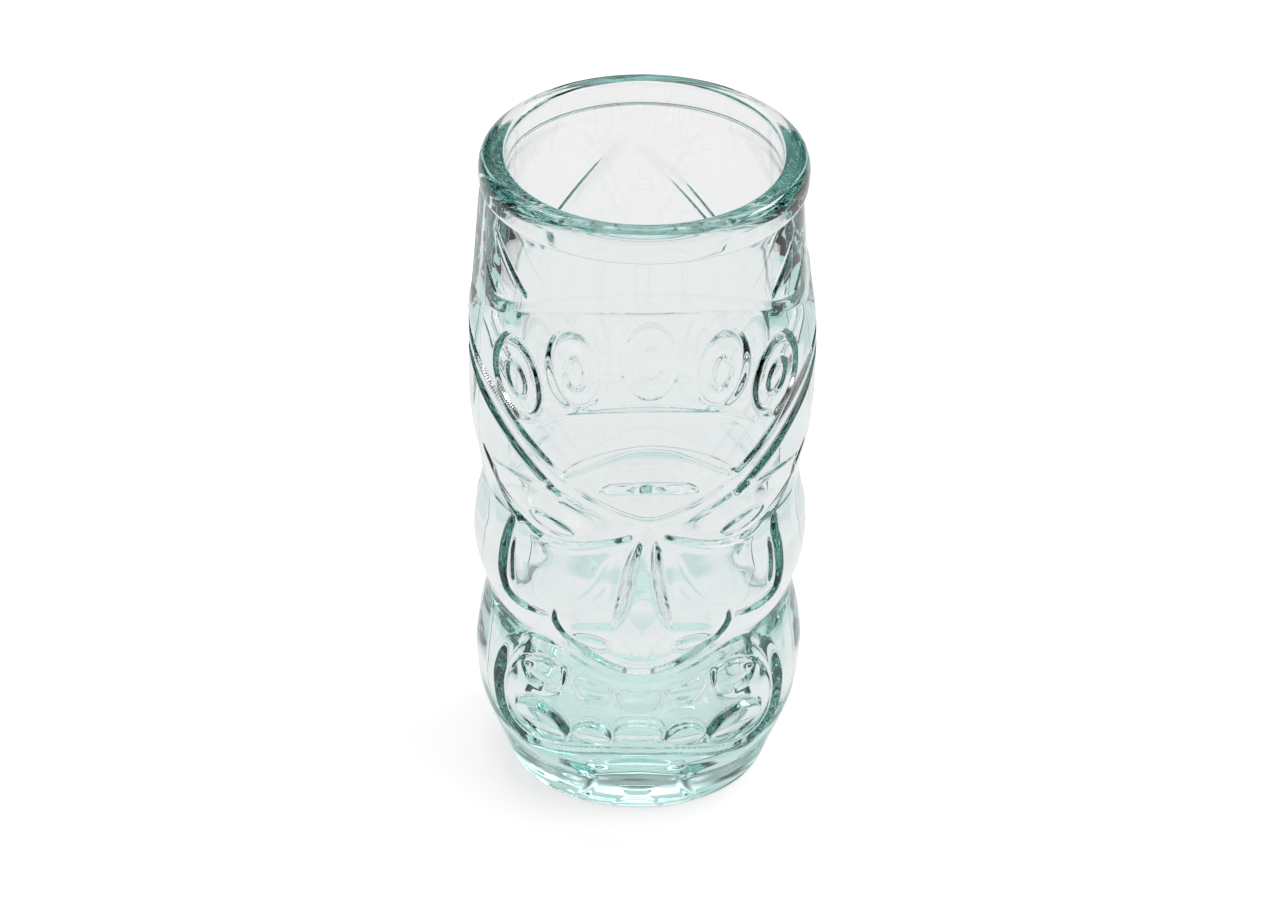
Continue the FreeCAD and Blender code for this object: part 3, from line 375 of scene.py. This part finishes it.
# ---- the chin and the foot ---------------------------------------------------------------------------
CHIN = [(-13.0, 18.2), (-7.0, 20.6), (0.0, 21.2), (7.0, 20.6), (13.0, 18.2), (7.0, 17.6), (0.0, 17.5), (-7.0, 17.6)]
dome_loop(CHIN, 0.8, 1.8, both=False)
for cx in (-14.5, 14.5):
    w, d = loop_field(oval(cx, 17.4, 2.8, 1.7, 0.0), 1.5, per=3)
    H[w] -= 0.5 * ramp((d + 0.4) / 1.8)
groove([(62.0, 12.6), (50.0, 11.4), (40.0, 11.2), (30.0, 11.2), (21.0, 11.0)], 2.4, 2.4, 0.16, 0.2)
groove([(18.0, 12.6), (9.0, 14.6), (0.0, 15.4), (-9.0, 14.6), (-18.0, 12.6)], 2.4, 2.4, 0.12, 0.1, both=False)
groove([(17.6, 11.4), (19.0, 8.0), (22.6, 4.4), (28.5, 0.6)], 1.8, 1.8, 0.4, 0.1, ((0.0, 0.8), (0.8, 0.8), (1.0, 0.4)))
ARCH = [(-12.5, 0.2), (-10.0, 3.0), (-5.0, 5.2), (0.0, 5.6), (5.0, 5.2), (10.0, 3.0), (12.5, 0.2), (8.0, -1.2), (0.0, -2.0), (-8.0, -1.2)]
w, d = loop_field(ARCH, 1.0)
H[w] -= 0.3 * soft_ramp(d / 1.8)
GATE = [(-9.0, 9.6), (0.0, 10.2), (9.0, 9.6), (5.0, 6.6), (0.0, 6.2), (-5.0, 6.6)]
w, d = loop_field(GATE, 1.0)
H[w] -= 0.3 * soft_ramp(d / 2.0)

# ---- strands of hair: short slanting cuts in the neck above the temples ----
for pts in ([(-67.0, 156.0), (-60.0, 152.2), (-53.0, 148.2), (-46.5, 144.6)], [(-80.0, 147.0), (-72.0, 143.4), (-64.0, 139.6)],
            [(67.0, 155.0), (60.0, 150.6), (54.0, 146.6), (49.0, 143.4)], [(78.0, 147.0), (71.0, 143.4), (64.0, 139.8)]):
    groove(pts, 0.55, 0.85, 1.05, 0.0, ((0.0, 0.15), (0.4, 0.55), (0.75, 1.0), (0.95, 1.0), (1.0, 0.3)), both=False, flip=pts[0][0] > 0, straight=True)

# ---- the back: a raised panel whose top edge climbs 45 degrees to a point; its wings rise again to the seams ----
BACK_X = 2.2                              # the design there sits a little to one side of the middle
xb = 38.6 * np.sin(np.radians(GT0))
from_back = np.abs(GT0 - 180.0)           # degrees from the middle of the back
u_back = np.abs(xb + BACK_X)


def roof(apex, wing):
    """Height of the panel's top edge at every place of the back."""
    slope = apex - u_back
    side_rise = wing + (from_back - 61.0) * 0.60
    k = 1.0
    return k * np.log(np.exp((slope - 120.0) / k) + np.exp((side_rise - 120.0) / k)) + 120.0


BACK_SIDE = (GT0 > 98.0) & (GT0 < 262.0)
on_slope = 1 / (1 + np.exp(np.clip((from_back - 60.0) / 1.5, -30, 30)))
edge = (roof(152.0, 126.0) - GZ) / np.sqrt(1 + on_slope * 0.9)
step = 1.15 * ramp(edge / 9.0 + 0.45)
PHI = np.mod(GT0, 360.0)
BACK = soft_ramp((PHI - 89.0) / 11.0) * soft_ramp((275.0 - PHI) / 11.0)
H = H * (1 - BACK) + step * BACK


def strand(x0, x1, total, width, depth, side):
    """A straight 45 degree line cut in the back, from a fine tip to a blunt low end."""
    u = xb * side
    off = (GZ + u - total) / math.sqrt(2.0)
    t = (u - x0) / (x1 - x0)
    k = ramp(t * 1.15 + 0.05) * ramp((1.0 - t) / 0.05)
    half = width * (0.35 + 0.65 * k)
    H[:] = H - np.where(BACK_SIDE, depth * k * (1 - soft_ramp((np.abs(off) - 0.05) / half)), 0.0)


strand(5.0, 24.5, 156.2, 0.42, 1.0, -1)
strand(2.0, 21.0, 147.8, 0.36, 0.8, 1)
strand(9.0, 24.5, 151.7, 0.46, 1.2, 1)
BACK_LOW = [(96.0, 99.0), (120.0, 96.0), (150.0, 92.0), (183.3, 90.6), (216.0, 92.0), (246.0, 96.0), (262.0, 99.0)]
w, dist, signed, along = line_field(BACK_LOW, 200.0)
H[w] -= BACK[w] * 1.15 * soft_ramp(0.5 - signed / 4.0)

# ---- soften every edge a little: fire-polished glass -----------------------
def blur_rows(a, sigma_cells, axis):
    radius = int(math.ceil(3 * sigma_cells))
    k = np.exp(-0.5 * (np.arange(-radius, radius + 1) / sigma_cells) ** 2); k /= k.sum()
    if axis == 1:
        pad = np.concatenate([a[:, -radius:], a, a[:, :radius]], 1)
        return sum(k[i] * pad[:, i:i + a.shape[1]] for i in range(2 * radius + 1))
    pad = np.concatenate([np.repeat(a[:1], radius, 0), a, np.repeat(a[-1:], radius, 0)], 0)
    return sum(k[i] * pad[i:i + a.shape[0]] for i in range(2 * radius + 1))


H = blur_rows(blur_rows(H, 0.65, 1), 0.6, 0)

# ---- the foot's edge and the rim stay clean ----------------------------------
H *= ramp((160.0 - GZ) / 3.0) * ramp(GZ / 1.2 + 0.15)

# ---- the slow unevenness that pressed glass always has ------------------------
rng = np.random.RandomState(11)
wave = np.zeros_like(H)
for amp, lo, hi, count in ((0.035, 1, 4, 10), (0.018, 5, 12, 14), (0.007, 14, 30, 18)):
    for _ in range(count):
        k = rng.randint(lo, hi); q = rng.uniform(lo, hi) * 2 * math.pi / 170.0
        wave += amp / math.sqrt(count) * np.cos(k * np.radians(GT0) + rng.uniform(0, 6.28)) * np.cos(q * GZ + rng.uniform(0, 6.28))
OUT = RB[:, None] + H + wave * ramp((167.5 - GZ) / 4.0) * ramp(GZ / 2.0)

# ---- the seams of the mould: a fine raised thread at each side, nicked at the bead ------------------
for seam, nick in ((98.0, 0.45), (266.0, 0.25)):
    for turn in (0.0, -360.0):
        d = (GT0 - seam - turn) * MM_PER_DEG
        OUT += 0.16 * np.exp(-(d / 0.22) ** 2) * ramp((161.0 - GZ) / 1.0) * ramp(GZ / 1.5)
        OUT -= nick * np.exp(-((d - 0.15 * (GZ - 165.0)) / 0.3) ** 2) * ramp((GZ - 161.6) / 0.8) * ramp((167.6 - GZ) / 0.8)
OUT = np.minimum(OUT, R_LIMIT - 0.05)

# =====================================================================
# The mesh: outer wall, lip, inner wall, cavity floor, base: one closed skin
# =====================================================================
th = np.radians(TH)
SIN, COS = np.sin(th), np.cos(th)


def ring(radius, z):
    r = np.broadcast_to(np.asarray(radius, float), (NT,))
    zz = np.broadcast_to(np.asarray(z, float), (NT,))
    return np.stack([r * SIN, -r * COS, zz], 1)


rings = []
# underneath: from the middle of the shallow hollow out to the foot
for r, z in ((2.0, 1.25), (6.0, 1.22), (10.0, 1.16), (14.0, 1.04), (17.0, 0.88), (19.5, 0.62), (21.2, 0.34), (22.4, 0.12), (23.6, 0.02), (25.0, 0.0), (27.0, 0.0), (28.6, 0.0), (29.8, 0.0)):
    rings.append(ring(r, z))
for i in range(NZ):
    rings.append(ring(OUT[i], ZZ[i]))
# the crest of the lip and over it to the inner wall
INNER = [(35.4, 168.0), (34.6, 168.0), (33.8, 167.97), (33.3, 167.85), (32.95, 167.62), (32.7, 167.25), (32.56, 166.8), (32.48, 166.2), (32.46, 165.4), (32.45, 164.0)]
wall = [(z, r) for z, r in ((14.05, 24.6), (14.6, 25.9), (15.6, 27.2), (17.2, 28.4), (19.5, 29.3), (22.5, 29.85), (27.0, 30.2), (40.0, 30.65), (70.0, 31.25), (100.0, 31.75), (130.0, 32.15), (150.0, 32.3), (164.0, 32.45))]
for r, z in INNER:
    rings.append(ring(r, z))
IZ, IR = smooth_curve(wall, 1.6)
inner_wave = np.zeros((len(IZ), NT))
for _ in range(12):
    k = rng.randint(1, 4); q = rng.uniform(0.5, 3.5) * 2 * math.pi / 150.0
    inner_wave += 0.045 / math.sqrt(12) * np.cos(k * th[None, :] + rng.uniform(0, 6.28)) * np.cos(q * IZ[:, None] + rng.uniform(0, 6.28))
inner_wave *= ramp((163.0 - IZ) / 6.0)[:, None]
for i in range(len(IZ) - 2, -1, -1):
    rings.append(ring(IR[i] + inner_wave[i], IZ[i]))
for r, z in ((22.6, 13.55), (20.0, 13.25), (16.0, 13.05), (11.0, 12.95), (6.0, 12.9), (2.0, 12.9)):
    rings.append(ring(r, z))

V = np.concatenate(rings)
NR = len(rings)
bottom_centre, floor_centre = len(V), len(V) + 1
V = np.concatenate([V, [[0, 0, 1.26], [0, 0, 12.9]]]) / 1000.0
j = np.arange(NT); jn = (j + 1) % NT
quads = []
for i in range(NR - 1):
    a, b = i * NT + j, i * NT + jn
    c, d = (i + 1) * NT + jn, (i + 1) * NT + j
    quads.append(np.stack([a, b, c, d], 1))
quads = np.concatenate(quads)
tri_low = np.stack([np.full(NT, bottom_centre), jn, j], 1)
last = (NR - 1) * NT
tri_top = np.stack([np.full(NT, floor_centre), last + j, last + jn], 1)

mesh = bpy.data.meshes.new("glass_skin")
n_loops = quads.size + tri_low.size + tri_top.size
mesh.vertices.add(len(V)); mesh.vertices.foreach_set("co", V.astype(np.float32).ravel())
mesh.loops.add(n_loops)
mesh.loops.foreach_set("vertex_index", np.concatenate([quads.ravel(), tri_low.ravel(), tri_top.ravel()]).astype(np.int32))
counts = np.concatenate([np.full(len(quads), 4), np.full(len(tri_low) + len(tri_top), 3)])
starts = np.concatenate([[0], np.cumsum(counts)[:-1]])
mesh.polygons.add(len(counts))
mesh.polygons.foreach_set("loop_start", starts.astype(np.int32))
mesh.polygons.foreach_set("loop_total", counts.astype(np.int32))
mesh.update(calc_edges=True)
mesh.validate()
mesh.shade_smooth()
glass = bpy.data.objects.new("tiki_glass", mesh)
bpy.context.scene.collection.objects.link(glass)

# =====================================================================
# Materials
# =====================================================================


def new_material(name):
    m = bpy.data.materials.new(name)
    m.use_nodes = True
    m.node_tree.nodes.clear()
    return m, m.node_tree.nodes, m.node_tree.links


mat, N, L = new_material("recycled_glass")
out = N.new("ShaderNodeOutputMaterial")
bsdf = N.new("ShaderNodeBsdfPrincipled")
bsdf.inputs["Base Color"].default_value = (0.98, 0.98, 0.98, 1.0)
bsdf.inputs["Transmission Weight"].default_value = 1.0
bsdf.inputs["IOR"].default_value = 1.52
bsdf.inputs["Roughness"].default_value = 0.0
L.new(bsdf.outputs["BSDF"], out.inputs["Surface"])
absorb = N.new("ShaderNodeVolumeAbsorption")
absorb.inputs["Color"].default_value = (0.12, 0.66, 0.60, 1.0)
absorb.inputs["Density"].default_value = 8.0
L.new(absorb.outputs["Volume"], out.inputs["Volume"])
# the fine hammered unevenness of cooled glass, and cords in the melt
coord = N.new("ShaderNodeTexCoord")
cordmap = N.new("ShaderNodeMapping")
cordmap.inputs["Scale"].default_value = (1.0, 1.0, 0.35)
L.new(coord.outputs["Object"], cordmap.inputs["Vector"])
n1 = N.new("ShaderNodeTexNoise"); n1.inputs["Scale"].default_value = 130.0; n1.inputs["Detail"].default_value = 2.0; n1.inputs["Roughness"].default_value = 0.45
L.new(cordmap.outputs["Vector"], n1.inputs["Vector"])
bump = N.new("ShaderNodeBump"); bump.inputs["Strength"].default_value = 0.08; bump.inputs["Distance"].default_value = 0.0006
L.new(n1.outputs["Fac"], bump.inputs["Height"])
L.new(bump.outputs["Normal"], bsdf.inputs["Normal"])
mesh.materials.append(mat)

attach(glass, "root")
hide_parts("glass_tumbler")

# =====================================================================
# Stage: a pale floor with painted light for the rays that leave the glass, soft studio light
# =====================================================================
fm, FN, FL = new_material("floor_with_painted_light")
fout = FN.new("ShaderNodeOutputMaterial")
add = FN.new("ShaderNodeAddShader")
diff = FN.new("ShaderNodeBsdfDiffuse"); diff.inputs["Color"].default_value = (0.60, 0.585, 0.588, 1)
# painted light on the table as the glass sees it: an emission, even in every direction, a little dimmer towards its
# far edges
fgeo = FN.new("ShaderNodeNewGeometry")
flen = FN.new("ShaderNodeVectorMath"); flen.operation = "LENGTH"
FL.new(fgeo.outputs["Position"], flen.inputs[0])
painted_light_falloff = FN.new("ShaderNodeMapRange"); painted_light_falloff.interpolation_type = "SMOOTHSTEP"
painted_light_falloff.inputs["From Min"].default_value = 0.30; painted_light_falloff.inputs["From Max"].default_value = 2.6
painted_light_falloff.inputs["To Min"].default_value = 0.94; painted_light_falloff.inputs["To Max"].default_value = 0.72
FL.new(flen.outputs["Value"], painted_light_falloff.inputs["Value"])
painted_table_glow = FN.new("ShaderNodeEmission")
painted_foot_tint_mask = FN.new("ShaderNodeMapRange"); painted_foot_tint_mask.interpolation_type = "SMOOTHSTEP"
painted_foot_tint_mask.inputs["From Min"].default_value = 0.036; painted_foot_tint_mask.inputs["From Max"].default_value = 0.062
FL.new(flen.outputs["Value"], painted_foot_tint_mask.inputs["Value"])
FL.new(painted_light_falloff.outputs["Result"], painted_table_glow.inputs["Strength"])
# painted light: under the foot the table's glow is painted a teal tint, standing in for light that has come down
# through the glass and been tinted by it
painted_glass_tint = FN.new("ShaderNodeMix"); painted_glass_tint.data_type = "RGBA"
painted_glass_tint.inputs[6].default_value = (0.72, 0.88, 0.85, 1); painted_glass_tint.inputs[7].default_value = (1.0, 0.965, 0.972, 1)
FL.new(painted_foot_tint_mask.outputs["Result"], painted_glass_tint.inputs[0]); FL.new(painted_glass_tint.outputs[2], painted_table_glow.inputs["Color"])
seen = FN.new("ShaderNodeEmission"); seen.inputs["Color"].default_value = (1, 1, 1, 1); seen.inputs["Strength"].default_value = 0.64
# camera rays see the plain floor; rays that come through the glass or off it see the painted glow instead
flp = FN.new("ShaderNodeLightPath")
fmix = FN.new("ShaderNodeMixShader")
FL.new(flp.outputs["Is Camera Ray"], fmix.inputs["Fac"])
FL.new(diff.outputs[0], add.inputs[0]); FL.new(seen.outputs[0], add.inputs[1])
FL.new(painted_table_glow.outputs[0], fmix.inputs[1]); FL.new(add.outputs[0], fmix.inputs[2])
FL.new(fmix.outputs[0], fout.inputs["Surface"])
fmesh = bpy.data.meshes.new("floor_with_painted_light")
E = 6.0
fmesh.from_pydata([(-E, -E, -0.0001), (E, -E, -0.0001), (E, E, -0.0001), (-E, E, -0.0001)], [], [(0, 1, 2, 3)])
floor = bpy.data.objects.new("floor_with_painted_light", fmesh)
fmesh.materials.append(fm)
bpy.context.scene.collection.objects.link(floor)

world = bpy.data.worlds.new("studio")
bpy.context.scene.world = world
world.use_nodes = True
W, WL = world.node_tree.nodes, world.node_tree.links
W.clear()
wout = W.new("ShaderNodeOutputWorld")
tc = W.new("ShaderNodeTexCoord")
DIRECTION = tc.outputs["Generated"]


def w_math(op, a, b=None, c=None, clamp=False):
    n = W.new("ShaderNodeMath"); n.operation = op; n.use_clamp = clamp
    for i, v in enumerate((a, b, c)):
        if v is None:
            continue
        if isinstance(v, (int, float)):
            n.inputs[i].default_value = v
        else:
            WL.new(v, n.inputs[i])
    return n.outputs[0]


def direction(az, el):
    """Unit vector towards azimuth (0 in front of the face, 90 to its left hand side, +X) and elevation."""
    a, e = math.radians(az), math.radians(el)
    return (math.cos(e) * math.sin(a), -math.cos(e) * math.cos(a), math.sin(e))


def softbox(az, el, half, edge, strength):
    """A round soft patch of light in the room: its half angle and soft edge in degrees."""
    dot = W.new("ShaderNodeVectorMath"); dot.operation = "DOT_PRODUCT"
    WL.new(DIRECTION, dot.inputs[0]); dot.inputs[1].default_value = direction(az, el)
    mr = W.new("ShaderNodeMapRange"); mr.interpolation_type = "SMOOTHSTEP"
    mr.inputs["From Min"].default_value = math.cos(math.radians(half + edge))
    mr.inputs["From Max"].default_value = math.cos(math.radians(max(half - edge, 0.5)))
    mr.inputs["To Min"].default_value = 0.0; mr.inputs["To Max"].default_value = strength
    WL.new(dot.outputs["Value"], mr.inputs["Value"])
    return mr.outputs["Result"]


def area(name, loc, target, size, power):
    ld = bpy.data.lights.new(name, "AREA")
    ld.shape = "RECTANGLE"; ld.size, ld.size_y = size
    ld.energy = power
    ob = bpy.data.objects.new(name, ld)
    ob.location = loc
    ob.rotation_euler = (Vector(target) - Vector(loc)).to_track_quat("-Z", "Y").to_euler()
    bpy.context.scene.collection.objects.link(ob)
    return ob


sep = W.new("ShaderNodeSeparateXYZ"); WL.new(DIRECTION, sep.inputs[0])
# the room by height: the sweep of the backdrop just over the horizon, then a dim room
ROOM = [(0.0, 0.60), (0.04, 0.50), (0.12, 0.06), (0.60, 0.02), (1.0, 0.08)]
cr = W.new("ShaderNodeValToRGB")
els = cr.color_ramp.elements
els[0].position, els[0].color = ROOM[0][0], (ROOM[0][1],) * 3 + (1,)
els[1].position, els[1].color = ROOM[-1][0], (ROOM[-1][1],) * 3 + (1,)
for pos, v in ROOM[1:-1]:
    e = els.new(pos); e.color = (v, v, v, 1)
WL.new(sep.outputs["Z"], cr.inputs["Fac"])
level = cr.outputs["Color"]
for az, el, half, edge, strength in ((70, 42, 20, 6, 2.6), (-75, 35, 15, 6, 1.2), (180, 58, 20, 8, 1.6), (-10, 76, 12, 8, 3.4), (180, 34, 12, 8, 0.55), (148, 34, 12, 8, 0.45), (212, 34, 12, 8, 0.45)):
    level = w_math("ADD", level, softbox(az, el, half, edge, strength))
bg_room = W.new("ShaderNodeBackground"); WL.new(level, bg_room.inputs["Color"])
bg_seen = W.new("ShaderNodeBackground"); bg_seen.inputs["Color"].default_value = (1, 1, 1, 1); bg_seen.inputs["Strength"].default_value = 1.05
mix = W.new("ShaderNodeMixShader")
lp = W.new("ShaderNodeLightPath")
WL.new(lp.outputs["Is Camera Ray"], mix.inputs["Fac"])
WL.new(bg_room.outputs[0], mix.inputs[1]); WL.new(bg_seen.outputs[0], mix.inputs[2])
WL.new(mix.outputs[0], wout.inputs["Surface"])

area("key", (1.1, 0.7, 1.5), (0, 0, 0.05), (0.55, 0.55), 10.5)

# =====================================================================
# Camera
# =====================================================================
R_CAM, Z_CAM, PITCH, F_PX = 1.135, 0.82818, 0.57999, 5624.4
AZ = math.radians(-2.0)
ROLL = math.radians(0.77)
cam_data = bpy.data.cameras.new("camera")
cam = bpy.data.objects.new("camera", cam_data)
bpy.context.scene.collection.objects.link(cam)
bpy.context.scene.camera = cam
cam_data.sensor_width = 36.0
cam_data.lens = F_PX * 36.0 / 1280.0
cam_data.shift_x = -0.56 / 1280.0
cam.location = (R_CAM * math.sin(AZ), -R_CAM * math.cos(AZ), Z_CAM)
cam.rotation_euler = (Matrix.Rotation(AZ, 3, "Z") @ Matrix.Rotation(math.pi / 2 - PITCH, 3, "X") @ Matrix.Rotation(ROLL, 3, "Z")).to_euler()
cam_data.clip_start = 0.05
cam_data.dof.use_dof = False

sc = bpy.context.scene
sc.view_settings.view_transform = "Standard"
sc.view_settings.look = "None"
sc.view_settings.exposure = 0.0
sc.view_settings.gamma = 1.0
sc.cycles.max_bounces = 32
sc.cycles.transmission_bounces = 32
sc.cycles.glossy_bounces = 12
sc.cycles.diffuse_bounces = 3
sc.cycles.transparent_max_bounces = 16
